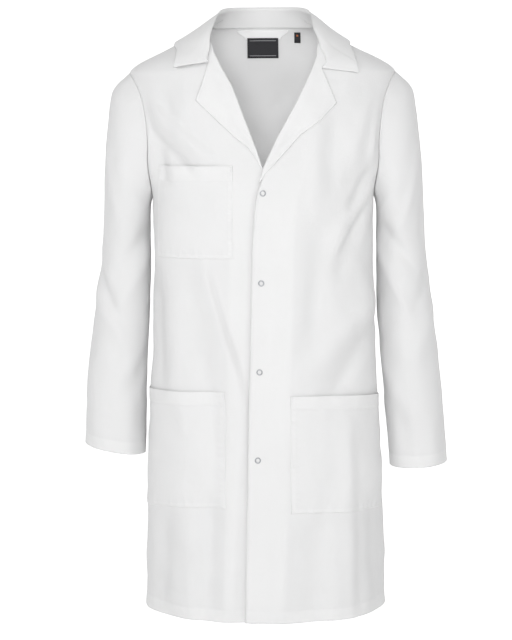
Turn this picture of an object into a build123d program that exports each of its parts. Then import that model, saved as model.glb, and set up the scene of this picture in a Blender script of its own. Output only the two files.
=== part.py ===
"""A long-sleeved lab coat with notched lapels, four press studs and three patch pockets.

The coat is held open as if it were worn. Millimetres, +X to the wearer's left, -Y to the front,
+Z up. The origin is the middle of the neck hole, level with the tops of the shoulder seams,
where a hanger's hook rises. Each cloth piece is a thin closed shell.
"""

import math
import os

from build123d import *

# --- driving dimensions ------------------------------------------------------------------
CLOTH = 1.2                 # thickness of one layer of cloth, with its seam allowances
LAYER_GAP = 0.3             # air between two layers that lie on each other
CUT_GAP = 0.4               # air between two pieces of cloth that meet edge to edge
BEND_GAP = 1.6              # the same, where a front swings past its upper part
HEM_Z = -1030.0             # bottom edge of the coat
HEM_HEIGHT = 22.0           # turned-up allowance of the bottom hem and the cuffs
CUFF_Z = -765.0             # bottom edge of the sleeves

BREAK_Z = -262.0            # the lapels start to fold here
BEND_SIDE_Z = -360.0        # the fronts swing below a line from the break to this height at the side
FRONT_OVERLAP = 17.5        # each front edge lies this far past the line of the press studs
FRONT_LEAN = 0.025          # the line of studs drifts this much in X for each mm it goes down
LEAN_START = 2.0            # X of the line of studs at the break
FACING_WIDTH = 72.0         # width of the doubled strip behind each front edge

SNAP_TOP_Z = -282.0         # highest press stud
SNAP_PITCH = 155.0          # from one press stud to the next
SNAP_COUNT = 4
SNAP_RADIUS = 4.75          # outer radius of the rings, the sockets and the stud flanges
SNAP_HOLE = 3.1             # inner radius of the open rings
RING_HEIGHT = 0.9
STUD_RADIUS = 1.9           # head of the stud
SOCKET_BORE = 2.3           # mouth of the socket
PRONGS = 5                  # prongs of each open ring, which pierce the cloth
PRONG_SIZE = 0.6

# Cross-sections of the body: height, half width, half depth, squareness, and how far the inside
# of the wall is lowered for each mm of wall where the shoulder slopes.
BODY = [
    (-1030.0, 217.0, 143.0, 2.3, 0.0),
    (-830.0, 209.5, 137.0, 2.4, 0.0),
    (-630.0, 201.0, 130.0, 2.5, 0.0),
    (-480.0, 195.5, 126.0, 2.6, 0.0),
    (-360.0, 193.0, 126.0, 2.6, 0.0),
    (-300.0, 195.0, 127.0, 2.5, 0.0),
    (-222.0, 226.0, 125.0, 2.3, 0.0),
    (-150.0, 236.0, 118.0, 2.2, 0.0),
    (-73.0, 229.0, 101.0, 2.1, 0.5),
    (-37.0, 158.0, 92.0, 2.0, 1.0),
    (0.0, 86.0, 80.0, 2.0, 1.0),
]
# The folded collar rides a little outside the shoulders and rises to its roll line.
COLLAR = [
    (-120.0, 235.0, 112.0, 2.1, 0.0),
    (-73.0, 229.0, 101.0, 2.1, 0.5),
    (-37.0, 158.0, 92.0, 2.0, 1.0),
    (-8.0, 112.0, 91.0, 2.0, 0.7),
    (12.0, 88.0, 83.0, 2.0, 0.2),
    (26.0, 73.0, 75.0, 2.0, 0.0),
]
STAND = [
    (0.6, 82.0, 78.0, 2.0, 0.0),
    (26.0, 73.0, 75.0, 2.0, 0.0),
]

# Cross-sections of the left sleeve: the inner and the outer end of each one as (X, Z), then the
# half depth and the middle in Y. It starts inside the body, whose surface trims it at the
# armhole seam. The third is where it swings.
SLEEVE = [
    ((170.0, -297.0), (198.0, -80.0), 67.0, 0.0),
    ((196.0, -297.0), (227.0, -80.0), 67.0, 0.0),
    ((200.0, -315.0), (262.0, -117.0), 67.0, 2.0),
    ((200.5, -326.0), (275.0, -192.0), 67.0, 6.0),
    ((201.0, -338.0), (281.0, -262.0), 64.0, 12.0),
    ((201.0, -350.0), (285.0, -330.0), 60.0, 18.0),
    ((201.5, -408.0), (291.0, -408.0), 56.0, 24.0),
    ((205.5, -515.0), (303.5, -515.0), 54.0, 20.0),
    ((212.0, -620.0), (316.0, -620.0), 53.0, 15.0),
    ((221.0, CUFF_Z), (327.0, CUFF_Z), 52.0, 8.0),
]
SWING_SECTION = 2

# How far the outer and the inner face of each layer of cloth lie outside the coat's surface
SHELL = (0.0, -CLOTH)
LINING = (-CLOTH - LAYER_GAP, -2 * CLOTH - LAYER_GAP)
POCKET_BAND_OUT = (CLOTH + LAYER_GAP, LAYER_GAP + 0.1)      # folded top edge, under the pocket
POCKET_OUT = (2 * CLOTH + 2 * LAYER_GAP, CLOTH + 2 * LAYER_GAP)
LAPEL_OUT = (CLOTH + LAYER_GAP, LAYER_GAP)
SNAP_ROOM = 3.0             # the press studs hold the two fronts this far apart
# The left front laps over the right one, whose half depth is this much smaller.
RIGHT_SINK = 2 * CLOTH + LAYER_GAP + SNAP_ROOM

# Outlines seen from the front, for the wearer's left side, as (X, Z)
ROLL_LINE = [(80.0, 30.0), (88.0, 0.0), (91.0, -30.0), (78.0, -62.0), (40.0, -140.0), (8.0, -212.0)]
LAPEL_EDGE = [(97.0, -68.0), (122.0, -130.0), (98.0, -153.0), (60.0, -187.0), (17.0, -233.0)]
COLLAR_EDGE = [(97.0, -66.0), (164.0, -75.0), (150.0, -24.0), (136.0, 40.0)]
LOWER_POCKET = dict(inner=56.0, outer=230.0, top=-627.0, bottom=-838.0, band=24.0)
CHEST_POCKET = dict(inner=50.0, outer=184.0, top=-241.0, bottom=-399.0, band=27.0)
COLLAR_BACK_Z = -42.0       # lower edge of the collar behind the neck

FAR = 400.0                 # larger than the half width of the coat
RING_POINTS = 24


# --- building blocks ---------------------------------------------------------------------
def body_ring(z, half_x, half_y, squareness):
    """A closed superellipse at height z, as a wire."""
    points = []
    for k in range(RING_POINTS):
        angle = 2 * math.pi * k / RING_POINTS
        cx, cy = math.cos(angle), math.sin(angle)
        reach = (abs(cx / half_x) ** squareness + abs(cy / half_y) ** squareness) ** (-1 / squareness)
        points.append((reach * cx, reach * cy, z))
    return Wire([Spline(*points, periodic=True)])


def body_solid(profile, offset, extend=0.0, sink=0.0):
    """The filled body whose surface lies offset outside the profile (negative is inside)."""
    rings = []
    for z, half_x, half_y, squareness, drop in profile:
        rings.append((z + offset * drop, half_x + offset, half_y + offset - sink, squareness))
    if extend:
        z, half_x, half_y, squareness = rings[0]
        rings.insert(0, (z - extend, half_x, half_y, squareness))
        (z1, x1, y1, _), (z2, x2, y2, s2) = rings[-2:]
        share = extend / (z2 - z1)
        rings.append((z2 + extend, x2 + (x2 - x1) * share, y2 + (y2 - y1) * share, s2))
    return Solid.make_loft([body_ring(*r) for r in rings], ruled=True)


def body_shell(profile, faces, sink=0.0):
    """The wall between two offsets from the profile, open at the bottom and at the top."""
    outer, inner = faces
    return body_solid(profile, outer, 0.0, sink) - body_solid(profile, inner, 6.0, sink)


def front_prism(outline):
    """Everything in front of the side seams that lies inside an (X, Z) outline."""
    face = Face(Wire.make_polygon([Vector(x, -CUT_GAP / 2, z) for x, z in outline], close=True))
    return Solid.extrude(face, Vector(0, -FAR, 0))


def back_prism(outline):
    """Everything behind the side seams that lies inside an (X, Z) outline."""
    face = Face(Wire.make_polygon([Vector(x, CUT_GAP / 2, z) for x, z in outline], close=True))
    return Solid.extrude(face, Vector(0, FAR, 0))


def mirrored(outline):
    return [(-x, z) for x, z in outline]


def rectangle(x0, x1, z0, z1):
    return [(x0, z0), (x1, z0), (x1, z1), (x0, z1)]


def largest(shape):
    """The main solid of a cut, without crumbs."""
    return max(shape.solids(), key=lambda s: s.volume)


def stud_line(z):
    """X of the line of press studs at height z."""
    return LEAN_START - FRONT_LEAN * (BREAK_Z - z)


def save(shape, name):
    shape.label = name
    export_step(shape, f"parts/{name}.step")


# --- outlines of the fronts --------------------------------------------------------------
def bend_line(side, gap):
    """The ends of the line that a front swings below, lowered by gap."""
    edge = stud_line(BREAK_Z) - side * FRONT_OVERLAP
    return (edge, BREAK_Z - gap), (side * 260.0, BEND_SIDE_Z - 30.0 - gap)


def lower_outline(side):
    """The part of a front that swings."""
    start, end = bend_line(side, BEND_GAP / 2)
    bottom = (stud_line(HEM_Z) - side * FRONT_OVERLAP, HEM_Z - 1)
    return [start, end, (side * 260.0, HEM_Z - 1), bottom]


def upper_outline(side):
    """The part of a front between the roll line and the armhole."""
    start, end = bend_line(side, -BEND_GAP / 2)
    roll = [(side * x, z) for x, z in ROLL_LINE]
    return roll + [start, end, (side * 260.0, 40.0)]


def facing_outline(side):
    start, end = bend_line(side, BEND_GAP / 2)
    inner_top = stud_line(BREAK_Z) + side * (FACING_WIDTH - FRONT_OVERLAP)
    inner_bottom = stud_line(HEM_Z) + side * (FACING_WIDTH - FRONT_OVERLAP)
    share = (inner_top - start[0]) / (end[0] - start[0])
    top = (inner_top, start[1] + share * (end[1] - start[1]))
    edge_bottom = stud_line(HEM_Z) - side * FRONT_OVERLAP
    return [start, top, (inner_bottom, HEM_Z - 1), (edge_bottom, HEM_Z - 1)]


def hem_outline(side):
    inner = stud_line(HEM_Z) + side * (FACING_WIDTH - FRONT_OVERLAP + 1.0)
    return rectangle(inner, side * 260.0, HEM_Z - 1, HEM_Z + HEM_HEIGHT)


def lapel_outline(side):
    roll = [(side * x, z) for x, z in ROLL_LINE[2:]]
    edge = [(side * x, z) for x, z in LAPEL_EDGE]
    tip = [(stud_line(BREAK_Z) - side * (FRONT_OVERLAP - 4.0), BREAK_Z + 4.0)]
    return edge + tip + roll[::-1]


def collar_front_outline(side):
    roll = [(side * x, z) for x, z in ROLL_LINE[:3]]
    edge = [(side * x, z) for x, z in COLLAR_EDGE]
    return roll + edge


# --- cloth pieces ------------------------------------------------------------------------
def armhole(side):
    """What the sleeve's head takes out of the body, with a gap for the seam."""
    return sleeve_solid(side, SLEEVE[:SWING_SECTION + 1], CUT_GAP)


def make_back():
    wall = body_shell(BODY, SHELL) & back_prism(rectangle(-FAR, FAR, HEM_Z - 5, 40))
    save(largest(wall - armhole(1) - armhole(-1)), "back_panel")
    hem = body_shell(BODY, LINING) & back_prism(rectangle(-FAR, FAR, HEM_Z - 5, HEM_Z + HEM_HEIGHT))
    save(largest(hem), "back_hem")


def make_front(side, name, sink):
    wall = body_shell(BODY, SHELL, sink)
    upper = (wall & front_prism(upper_outline(side))) - armhole(side)
    save(largest(upper), f"{name}_front_upper")
    save(largest(wall & front_prism(lower_outline(side))), f"{name}_front_lower")
    lining = body_shell(BODY, LINING, sink)
    save(largest(lining & front_prism(facing_outline(side))), f"{name}_facing")
    save(largest(lining & front_prism(hem_outline(side))), f"{name}_front_hem")
    lapel = body_shell(BODY, LAPEL_OUT, sink) & front_prism(lapel_outline(side))
    save(largest(lapel), f"{name}_lapel")


def make_pocket(side, name, sink, pocket):
    """A patch pocket and the folded band along its mouth."""
    inner, outer = side * pocket["inner"], side * pocket["outer"]
    cloth = body_shell(BODY, POCKET_OUT, sink)
    save(largest(cloth & front_prism(rectangle(inner, outer, pocket["bottom"], pocket["top"]))), name)
    fold = body_shell(BODY, POCKET_BAND_OUT, sink)
    band = rectangle(inner, outer, pocket["top"] - pocket["band"], pocket["top"])
    save(largest(fold & front_prism(band)), f"{name}_band")


def make_collar():
    """Three layers of the folded collar, and the stand inside it."""
    region = back_prism(rectangle(-FAR, FAR, COLLAR_BACK_Z, 60))
    for side in (1, -1):
        region = region + front_prism(collar_front_outline(side))
    bridge = Box(2 * FAR, 2 * CUT_GAP, 100).moved(Location((0, 0, COLLAR_BACK_Z + 50)))
    region = region + bridge
    layers = {"top_collar": (5.4, 4.2), "collar_interlining": (3.9, 3.4), "under_collar": (3.1, 1.9)}
    for name, faces in layers.items():
        save(largest(body_shell(COLLAR, faces) & region), name)
    stand = body_shell(STAND, (1.2, 0.0)) & back_prism(rectangle(-FAR, FAR, -5, 60))
    save(largest(stand), "collar_stand")


def sleeve_solid(side, sections, offset, extend=0.0):
    """The filled sleeve whose surface lies offset outside its sections."""
    wires = []
    rows = list(sections)
    if extend:
        rows = [stretched(rows[0], rows[1], extend), *rows, stretched(rows[-1], rows[-2], extend)]
    for (x0, z0), (x1, z1), half_y, mid_y in rows:
        centre = Vector(side * (x0 + x1) / 2, mid_y, (z0 + z1) / 2)
        across = Vector(side * (x1 - x0) / 2, 0, (z1 - z0) / 2)
        across = across * (1 + offset / across.length)
        along = Vector(0, half_y + offset, 0)
        points = []
        for k in range(RING_POINTS):
            angle = 2 * math.pi * k / RING_POINTS
            points.append(centre + across * math.cos(angle) + along * math.sin(angle))
        wires.append(Wire([Spline(*points, periodic=True)]))
    lengths = [Solid.make_loft(pair, ruled=True) for pair in zip(wires, wires[1:])]
    return lengths[0].fuse(*lengths[1:])


def stretched(end, neighbour, length):
    """A copy of an end section, moved outward along the sleeve by about length."""
    moved = []
    for (x0, z0), (x1, z1) in zip(end[:2], neighbour[:2]):
        run = math.hypot(x1 - x0, z1 - z0)
        moved.append((x0 + (x0 - x1) * length / run, z0 + (z0 - z1) * length / run))
    return moved[0], moved[1], end[2], end[3]


def sleeve_shell(side, sections, faces):
    outer, inner = faces
    return sleeve_solid(side, sections, outer) - sleeve_solid(side, sections, inner, extend=3.0)


def lowered(section, amount):
    """The swing section moved down by amount, to leave a gap for the joint."""
    (x0, z0), (x1, z1), half_y, mid_y = section
    return (x0, z0 - amount), (x1, z1 - amount), half_y, mid_y


def between(upper, lower, z):
    """The section at height z between two level sections."""
    share = (upper[0][1] - z) / (upper[0][1] - lower[0][1])
    mix = [a + (b - a) * share for a, b in zip((upper[0][0], upper[1][0], *upper[2:]),
                                              (lower[0][0], lower[1][0], *lower[2:]))]
    return (mix[0], z), (mix[1], z), mix[2], mix[3]


def make_sleeve(side, name, sink):
    head = sleeve_shell(side, SLEEVE[:SWING_SECTION + 1], SHELL)
    body = body_solid(BODY, CUT_GAP) & back_prism(rectangle(-FAR, FAR, HEM_Z, 40))
    front = body_solid(BODY, CUT_GAP, 0.0, sink) & front_prism(rectangle(-FAR, FAR, HEM_Z, 40))
    seam = Box(2 * BODY[5][1], 2 * CUT_GAP, 4 * FAR)
    save(largest(head - body - front - seam), f"{name}_sleeve_head")
    arm = [lowered(SLEEVE[SWING_SECTION], 2 * CUT_GAP), *SLEEVE[SWING_SECTION + 1:]]
    save(largest(sleeve_shell(side, arm, SHELL)), f"{name}_sleeve")
    cuff = [between(SLEEVE[-2], SLEEVE[-1], CUFF_Z + HEM_HEIGHT), SLEEVE[-1]]
    save(largest(sleeve_shell(side, cuff, LINING)), f"{name}_cuff_hem")


def make_labels():
    patch = [(-46.0, -4.0), (46.0, -4.0), (30.0, -20.0), (30.0, -30.0), (-30.0, -30.0), (-30.0, -20.0)]
    wall = body_shell(BODY, (-1.5, -2.3))
    save(largest(wall & back_prism(patch)), "label_patch")
    wall = body_shell(BODY, (-2.6, -3.2))
    save(largest(wall & back_prism(rectangle(-29.0, 29.0, -60.0, -22.0))), "neck_label")
    wall = body_shell(BODY, (-1.5, -2.3))
    save(largest(wall & back_prism(rectangle(57.0, 68.0, -32.0, -13.0))), "size_label")


# --- press studs -------------------------------------------------------------------------
def front_y(x, z, depth):
    """Y of the surface that lies depth under the outside of the front."""
    for (z0, a0, b0, n0, _), (z1, a1, b1, n1, _) in zip(BODY, BODY[1:]):
        if z0 <= z <= z1:
            share = (z - z0) / (z1 - z0)
            half_x = a0 + (a1 - a0) * share - depth
            half_y = b0 + (b1 - b0) * share - depth
            squareness = n0 + (n1 - n0) * share
            return -half_y * (1 - abs(x / half_x) ** squareness) ** (1 / squareness)
    raise ValueError("height outside the body")


def disc(centre, radius, thickness, bore=0.0):
    """A flat ring whose front face is at centre and whose thickness runs towards the body."""
    plane = Plane(origin=centre, x_dir=(1, 0, 0), z_dir=(0, 1, 0))
    shape = extrude(plane * Circle(radius), amount=thickness)
    if bore:
        shape = shape - extrude(plane * Circle(bore), amount=thickness)
    return shape


def prong_ring(x, y, z, prong_length, direction):
    """An open ring with prongs that pierce the cloth. direction is +1 to pierce towards the body."""
    flat = y if direction > 0 else y - RING_HEIGHT
    ring = disc((x, flat, z), SNAP_RADIUS, RING_HEIGHT, SNAP_HOLE)
    ring = chamfer(ring.edges().filter_by(GeomType.CIRCLE), RING_HEIGHT * 0.25)
    start = y + RING_HEIGHT / 2 if direction > 0 else y - RING_HEIGHT / 2 - prong_length
    for k in range(PRONGS):
        angle = 2 * math.pi * k / PRONGS
        reach = (SNAP_RADIUS + SNAP_HOLE) / 2
        px, pz = x + reach * math.cos(angle), z + reach * math.sin(angle)
        prong = Box(PRONG_SIZE, prong_length, PRONG_SIZE)
        ring = ring + prong.moved(Location((px, start + prong_length / 2, pz)))
    return ring


def make_snaps():
    for k in range(SNAP_COUNT):
        z = SNAP_TOP_Z - k * SNAP_PITCH
        x = stud_line(z)
        outside = front_y(x, z, 0.0)
        name = f"snap_{k + 1}"
        pierce = 2 * CLOTH + LAYER_GAP + RING_HEIGHT
        cap = prong_ring(x, outside - RING_HEIGHT - 0.15, z, pierce + 0.3, 1)
        save(largest(cap), f"{name}_cap")
        socket_y = outside + 2 * CLOTH + LAYER_GAP + 0.2
        cup = disc((x, socket_y, z), SNAP_RADIUS, 2.0)
        cup = cup - disc((x, socket_y + 0.5, z), SOCKET_BORE, 1.5)
        cup = chamfer(cup.edges().filter_by(GeomType.CIRCLE).sort_by(Axis.Y)[:1], 0.3)
        save(largest(cup), f"{name}_socket")
        stud_y = outside + RIGHT_SINK - 0.25
        stud = disc((x, stud_y - 0.5, z), SNAP_RADIUS, 0.5) + disc((x, stud_y - 2.0, z), STUD_RADIUS, 1.6)
        save(largest(stud), f"{name}_stud")
        inside = outside + RIGHT_SINK + 2 * CLOTH + LAYER_GAP + 0.15
        ring = prong_ring(x, inside + RING_HEIGHT, z, pierce + 0.1, -1)
        save(largest(ring), f"{name}_ring")


def main():
    os.makedirs("parts", exist_ok=True)
    make_back()
    make_front(1, "left", 0.0)
    make_front(-1, "right", RIGHT_SINK)
    make_pocket(1, "left_pocket", 0.0, LOWER_POCKET)
    make_pocket(-1, "right_pocket", RIGHT_SINK, LOWER_POCKET)
    make_pocket(-1, "chest_pocket", RIGHT_SINK, CHEST_POCKET)
    make_collar()
    make_sleeve(1, "left", 0.0)
    make_sleeve(-1, "right", RIGHT_SINK)
    make_labels()
    make_snaps()


main()
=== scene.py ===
"""The cloth, press studs and labels of a lab coat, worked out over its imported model."""

import bmesh
import bpy
import numpy as np
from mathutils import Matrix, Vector


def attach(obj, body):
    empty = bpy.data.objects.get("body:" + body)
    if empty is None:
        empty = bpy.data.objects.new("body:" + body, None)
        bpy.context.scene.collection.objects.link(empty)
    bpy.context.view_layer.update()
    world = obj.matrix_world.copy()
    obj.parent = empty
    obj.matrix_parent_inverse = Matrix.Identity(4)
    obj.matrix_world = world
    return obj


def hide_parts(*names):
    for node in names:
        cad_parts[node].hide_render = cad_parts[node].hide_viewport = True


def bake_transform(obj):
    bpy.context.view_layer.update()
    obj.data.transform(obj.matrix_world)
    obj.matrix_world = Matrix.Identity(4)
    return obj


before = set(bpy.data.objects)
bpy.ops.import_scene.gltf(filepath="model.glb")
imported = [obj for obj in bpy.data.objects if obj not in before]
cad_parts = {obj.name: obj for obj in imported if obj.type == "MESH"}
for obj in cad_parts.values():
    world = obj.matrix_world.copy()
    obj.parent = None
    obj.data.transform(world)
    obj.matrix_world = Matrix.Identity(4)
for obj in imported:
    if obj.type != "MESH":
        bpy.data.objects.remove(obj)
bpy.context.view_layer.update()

# Lengths below are in millimetres, and meshes are written in metres.
MM = 0.001
CLOTH = 0.9                 # one layer of twill
HEM_Z = -1040.0
HEM_HEIGHT = 22.0
BACK_TOP_Z = -5.0           # seam between the back and the collar
BREAK_Z = -262.0            # the lapels start to fold here
FACING_WIDTH = 72.0
FRONT_TOP_Z = 10.0
BEHIND_ONE_LAYER = -CLOTH - 0.25
SNAP_TOP_Z, SNAP_PITCH, SNAP_COUNT = -282.0, 155.0, 4
LEFT, RIGHT = 1, -1
NAME = {LEFT: "left", RIGHT: "right"}
SINK = {LEFT: 0.0, RIGHT: 5.7}  # the right front lies this far under the left one
QUARTER = np.pi / 2
# The armhole, seen from the side: an oval
ARMHOLE_LOW_Z, ARMHOLE_TOP_Z, ARMHOLE_DEPTH = -297.0, -80.0, 67.0
ARMHOLE_MID_Z = (ARMHOLE_TOP_Z + ARMHOLE_LOW_Z) / 2
ARMHOLE_HALF = (ARMHOLE_TOP_Z - ARMHOLE_LOW_Z) / 2

# Rings of the body, from the hem up: height, half width, half depth, squareness
BODY = np.array([
    (-1050.0, 218.0, 143.4, 2.3), (-1030.0, 217.0, 143.0, 2.3), (-830.0, 209.5, 137.0, 2.4),
    (-630.0, 201.0, 130.0, 2.5), (-480.0, 195.5, 126.0, 2.6), (-360.0, 193.0, 126.0, 2.6),
    (-300.0, 195.0, 127.0, 2.5), (-222.0, 224.0, 125.0, 2.3), (-150.0, 235.0, 118.0, 2.2),
    (-80.0, 232.0, 103.0, 2.1), (-73.0, 226.0, 101.0, 2.1), (-37.0, 158.0, 92.0, 2.0),
    (0.0, 86.0, 80.0, 2.0), (10.0, 68.0, 76.0, 2.0)])
# Rings of the folded collar, in the same order
COLLAR = np.array([
    (-120.0, 236.0, 112.0, 2.1), (-73.0, 229.0, 101.0, 2.1), (-37.0, 159.0, 92.0, 2.0),
    (-8.0, 115.0, 91.0, 2.0), (12.0, 89.0, 84.0, 2.0), (27.0, 73.0, 75.0, 2.0),
    (40.0, 60.0, 67.0, 2.0)])
STAND = np.array([
    (-70.0, 96.0, 92.0, 2.0), (-37.0, 92.0, 87.0, 2.0), (-8.0, 86.0, 81.0, 2.0),
    (12.0, 80.0, 76.0, 2.0), (27.0, 71.0, 72.5, 2.0), (40.0, 62.0, 66.0, 2.0)])
# Sections of a sleeve: inner end X and Z, outer end X and Z, half depth, middle Y
SLEEVE_TOP = [
    (196.0, -297.0, 227.0, -80.0, 67.0, 0.0), (200.0, -315.0, 262.0, -117.0, 67.0, 2.0),
    (200.5, -326.0, 275.0, -192.0, 67.0, 6.0), (201.0, -338.0, 281.0, -262.0, 64.0, 12.0),
    (201.0, -352.0, 285.0, -330.0, 60.0, 18.0), (201.5, -408.0, 291.0, -408.0, 56.0, 24.0)]
SLEEVE = {
    LEFT: np.array(SLEEVE_TOP + [
        (204.5, -520.0, 304.0, -518.0, 54.0, 20.0), (213.0, -630.0, 317.0, -626.0, 53.0, 15.0),
        (226.0, -788.0, 330.0, -780.0, 52.0, 8.0)]),
    RIGHT: np.array(SLEEVE_TOP + [
        (205.5, -512.0, 304.0, -508.0, 54.0, 20.0), (211.0, -615.0, 317.0, -605.0, 53.0, 15.0),
        (217.0, -764.0, 327.0, -744.0, 52.0, 8.0)])}

# Outlines seen from the front, from the top down, as (distance from the middle, Z)
ROLL_LINE = {
    LEFT: [(82, 14), (92, -8), (97, -30), (96, -53), (85, -80), (61, -129), (27, -190), (5, -238),
           (-1.5, -256), (-5, -270), (-14, -296)],
    RIGHT: [(80, 16), (86, -3), (87, -28), (83, -45), (69, -72), (51, -103), (24, -174), (-1, -240),
            (-8, -262), (-17, -290)]}
LAPEL_EDGE = {
    LEFT: [(97, -30), (108, -40), (110, -66), (103, -74), (128, -131), (104, -156), (66, -184),
           (24, -230), (6, -249), (-2, -262), (-7, -276)],
    RIGHT: [(87, -28), (95, -38), (97, -54), (90, -62), (112, -126), (91, -146), (47, -187), (24, -204),
            (8, -227), (-4, -250), (-12, -276)]}
FRONT_EDGE = {
    LEFT: [(-1, -250), (-3, -262), (-9, -278), (-12.5, -295), (-14.5, -315), (-16, -345), (-17.5, -390)],
    RIGHT: [(-10, -262), (-15, -290), (-17.5, -320), (-17.5, -380)]}
# Outer edge of the collar in front, from its tip up
COLLAR_EDGE = {
    LEFT: [(164, -82), (163.4, -70), (160, -57), (157, -48), (154, -42)],
    RIGHT: [(150, -71), (149.6, -66), (148, -57), (147, -50), (146.5, -42)]}
COLLAR_NOTCH = {LEFT: (102.0, -72.0), RIGHT: (90.0, -61.0)}

# Pockets: inner edge, outer edge, top, bottom, height of the folded band, drop of the mouth's
# outer corner, drop of the bottom's outer corner
LOWER_POCKET = {
    LEFT: (47.0, 230.0, -634.0, -842.0, 24.0, 20.0, 18.0),
    RIGHT: (66.0, 230.0, -628.0, -834.0, 24.0, 12.0, 21.0)}
CHEST_POCKET = (50.0, 182.0, -236.0, -396.0, 26.0, 2.0, 2.0)
POCKET_GAPE, CHEST_GAPE = {LEFT: 3.0, RIGHT: 1.0}, 1.5

# Folds on the fronts, as they lie seen from the front: start X and Z, end X and Z, width,
# height, and how much softer one flank is, where it is
FRONT_FOLDS = [
    (-104, -404, -62, -560, 15, 6.5, 0.6), (-70, -520, -34, -660, 18, 7.5, 0.6),
    (-34, -620, -46, -800, 18, 6.0, 0.5), (-46, -760, -62, -1050, 20, 6.0, 0.3),
    (-98, -560, -84, -800, 16, -3.0), (-92, -790, -104, -1050, 18, -4.5),
    (-160, -410, -146, -660, 22, 4.5, -0.3), (-186, -420, -180, -640, 11, -3.5),
    (-200, -130, -84, -230, 15, 5.5, 0.4), (-196, -176, -112, -258, 11, -4.5),
    (-182, -196, -168, -270, 12, -6.0), (-212, -108, -190, -210, 9, -3.5),
    (-140, -76, -112, -210, 24, 3.2), (-172, -100, -150, -180, 12, -2.2),
    (-128, -850, -134, -1050, 24, 4.5, 0.2), (-176, -850, -188, -1050, 18, -4.5),
    (88, -130, 96, -340, 22, 3.8, -0.1), (120, -150, 116, -300, 16, -2.4),
    (66, -320, 38, -640, 28, 3.8, -0.1), (100, -330, 84, -600, 20, -3.0),
    (190, -262, 120, -390, 13, 5.5, 0.4), (188, -244, 146, -318, 9, -5.5),
    (170, -300, 134, -440, 17, -4.5), (188, -290, 170, -372, 9, 3.5),
    (198, -520, 118, -632, 20, -5.5, 0.3), (194, -466, 70, -604, 22, 4.2),
    (178, -420, 176, -540, 14, 3.5), (206, -120, 188, -226, 8, 3.5, 0.2),
    (188, -116, 150, -236, 14, 3.2), (144, -690, 150, -1050, 16, 5.0, 0.3),
    (96, -840, 84, -1050, 24, -4.0), (196, -820, 206, -1050, 16, -4.5),
    (38, -860, 22, -1050, 16, 3.2), (118, -840, 126, -1050, 14, 2.2)]
# Folds on the back, in the same form
BACK_FOLDS = [
    (-190, -200, -90, -330, 24, 5.0), (190, -200, 90, -330, 24, 5.0),
    (-60, -420, -78, -1030, 34, 6.0, 0.2), (70, -460, 84, -1030, 36, 6.0, -0.2),
    (0, -500, 6, -1030, 30, -5.0), (-150, -560, -160, -1030, 26, -5.0),
    (152, -600, 160, -1030, 26, -5.0), (-120, -60, -30, -150, 30, 3.0),
    (120, -60, 30, -150, 30, 3.0), (-196, -640, -200, -1030, 16, 4.0),
    (194, -640, 200, -1030, 16, 4.0)]
# Creases on a sleeve: turn and distance down the sleeve at the start and the end, width, height.
# The turn is 0 at the outer edge and -90 degrees at the front.
SLEEVE_FOLDS = {
    LEFT: [(-20, 60, -110, 190, 13, 3.5), (-150, 150, -60, 250, 13, -4.5), (-170, 180, -80, 330, 15, 4.5),
           (-10, 230, -80, 330, 14, -3.6), (-5, 300, -95, 420, 18, 4.2), (-170, 400, -95, 520, 18, 3.6),
           (-120, 470, -112, 640, 14, -4.0), (-60, 520, -62, 690, 18, 3.2), (-30, 120, -36, 200, 10, -3.0),
           (60, 200, 150, 330, 18, 5.0), (30, 320, 120, 430, 18, -4.0), (90, 430, 100, 640, 22, 4.0)],
    RIGHT: [(-10, 235, -90, 330, 10, -5.5), (-5, 262, -110, 392, 17, 5.0), (-165, 160, -80, 240, 15, -4.0),
            (-160, 205, -70, 330, 17, 4.6), (-20, 60, -80, 170, 15, 3.0), (-175, 380, -110, 470, 16, -4.0),
            (-30, 420, -70, 600, 22, 3.6), (-120, 480, -118, 690, 18, 3.4), (-60, 330, -110, 430, 14, -2.8),
            (60, 190, 150, 320, 18, 5.0), (30, 330, 120, 450, 18, -4.0), (90, 450, 100, 640, 22, 4.0)]}


# --- numbers on curves and surfaces ------------------------------------------------------
def smooth(t, knots, values):
    """A curve through the knots that never overshoots: cubic pieces whose slopes are the
    weighted harmonic means of the slopes on either side."""
    t, knots, values = (np.asarray(v, float) for v in (t, knots, values))
    step = np.diff(knots)
    rise = np.diff(values) / step
    w1, w2 = 2 * step[1:] + step[:-1], step[1:] + 2 * step[:-1]
    same = rise[:-1] * rise[1:] > 0
    safe = np.where(same, w1 / np.where(same, rise[:-1], 1) + w2 / np.where(same, rise[1:], 1), 1)
    inner = np.where(same, (w1 + w2) / safe, 0)
    slope = np.concatenate([rise[:1], inner, rise[-1:]])
    k = np.clip(np.searchsorted(knots, t) - 1, 0, len(knots) - 2)
    u = (t - knots[k]) / step[k]
    a, b = values[k], values[k + 1]
    ma, mb = slope[k] * step[k], slope[k + 1] * step[k]
    return (a * (1 + 2 * u) * (1 - u) ** 2 + ma * u * (1 - u) ** 2
            + b * u * u * (3 - 2 * u) + mb * u * u * (u - 1))


def across(z, outline):
    """Distance from the middle of an outline at height z, along straight lines."""
    points = np.array(outline, float)[::-1]
    return np.interp(z, points[:, 1], points[:, 0])


def step_up(x, low, high):
    """0 below low, 1 above high, and a smooth S between."""
    t = np.clip((x - low) / (high - low), 0, 1)
    return t * t * (3 - 2 * t)


def bell(x, width):
    """1 at x = 0, and down on both sides to about a third at the width."""
    return np.exp(-(x / width) ** 2)


def stud_line(z):
    """X of the line of press studs."""
    return 2.0 - 0.025 * (BREAK_Z - np.asarray(z, float))


noise_table = np.random.default_rng(7).uniform(-1, 1, (24, 24, 24))


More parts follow.
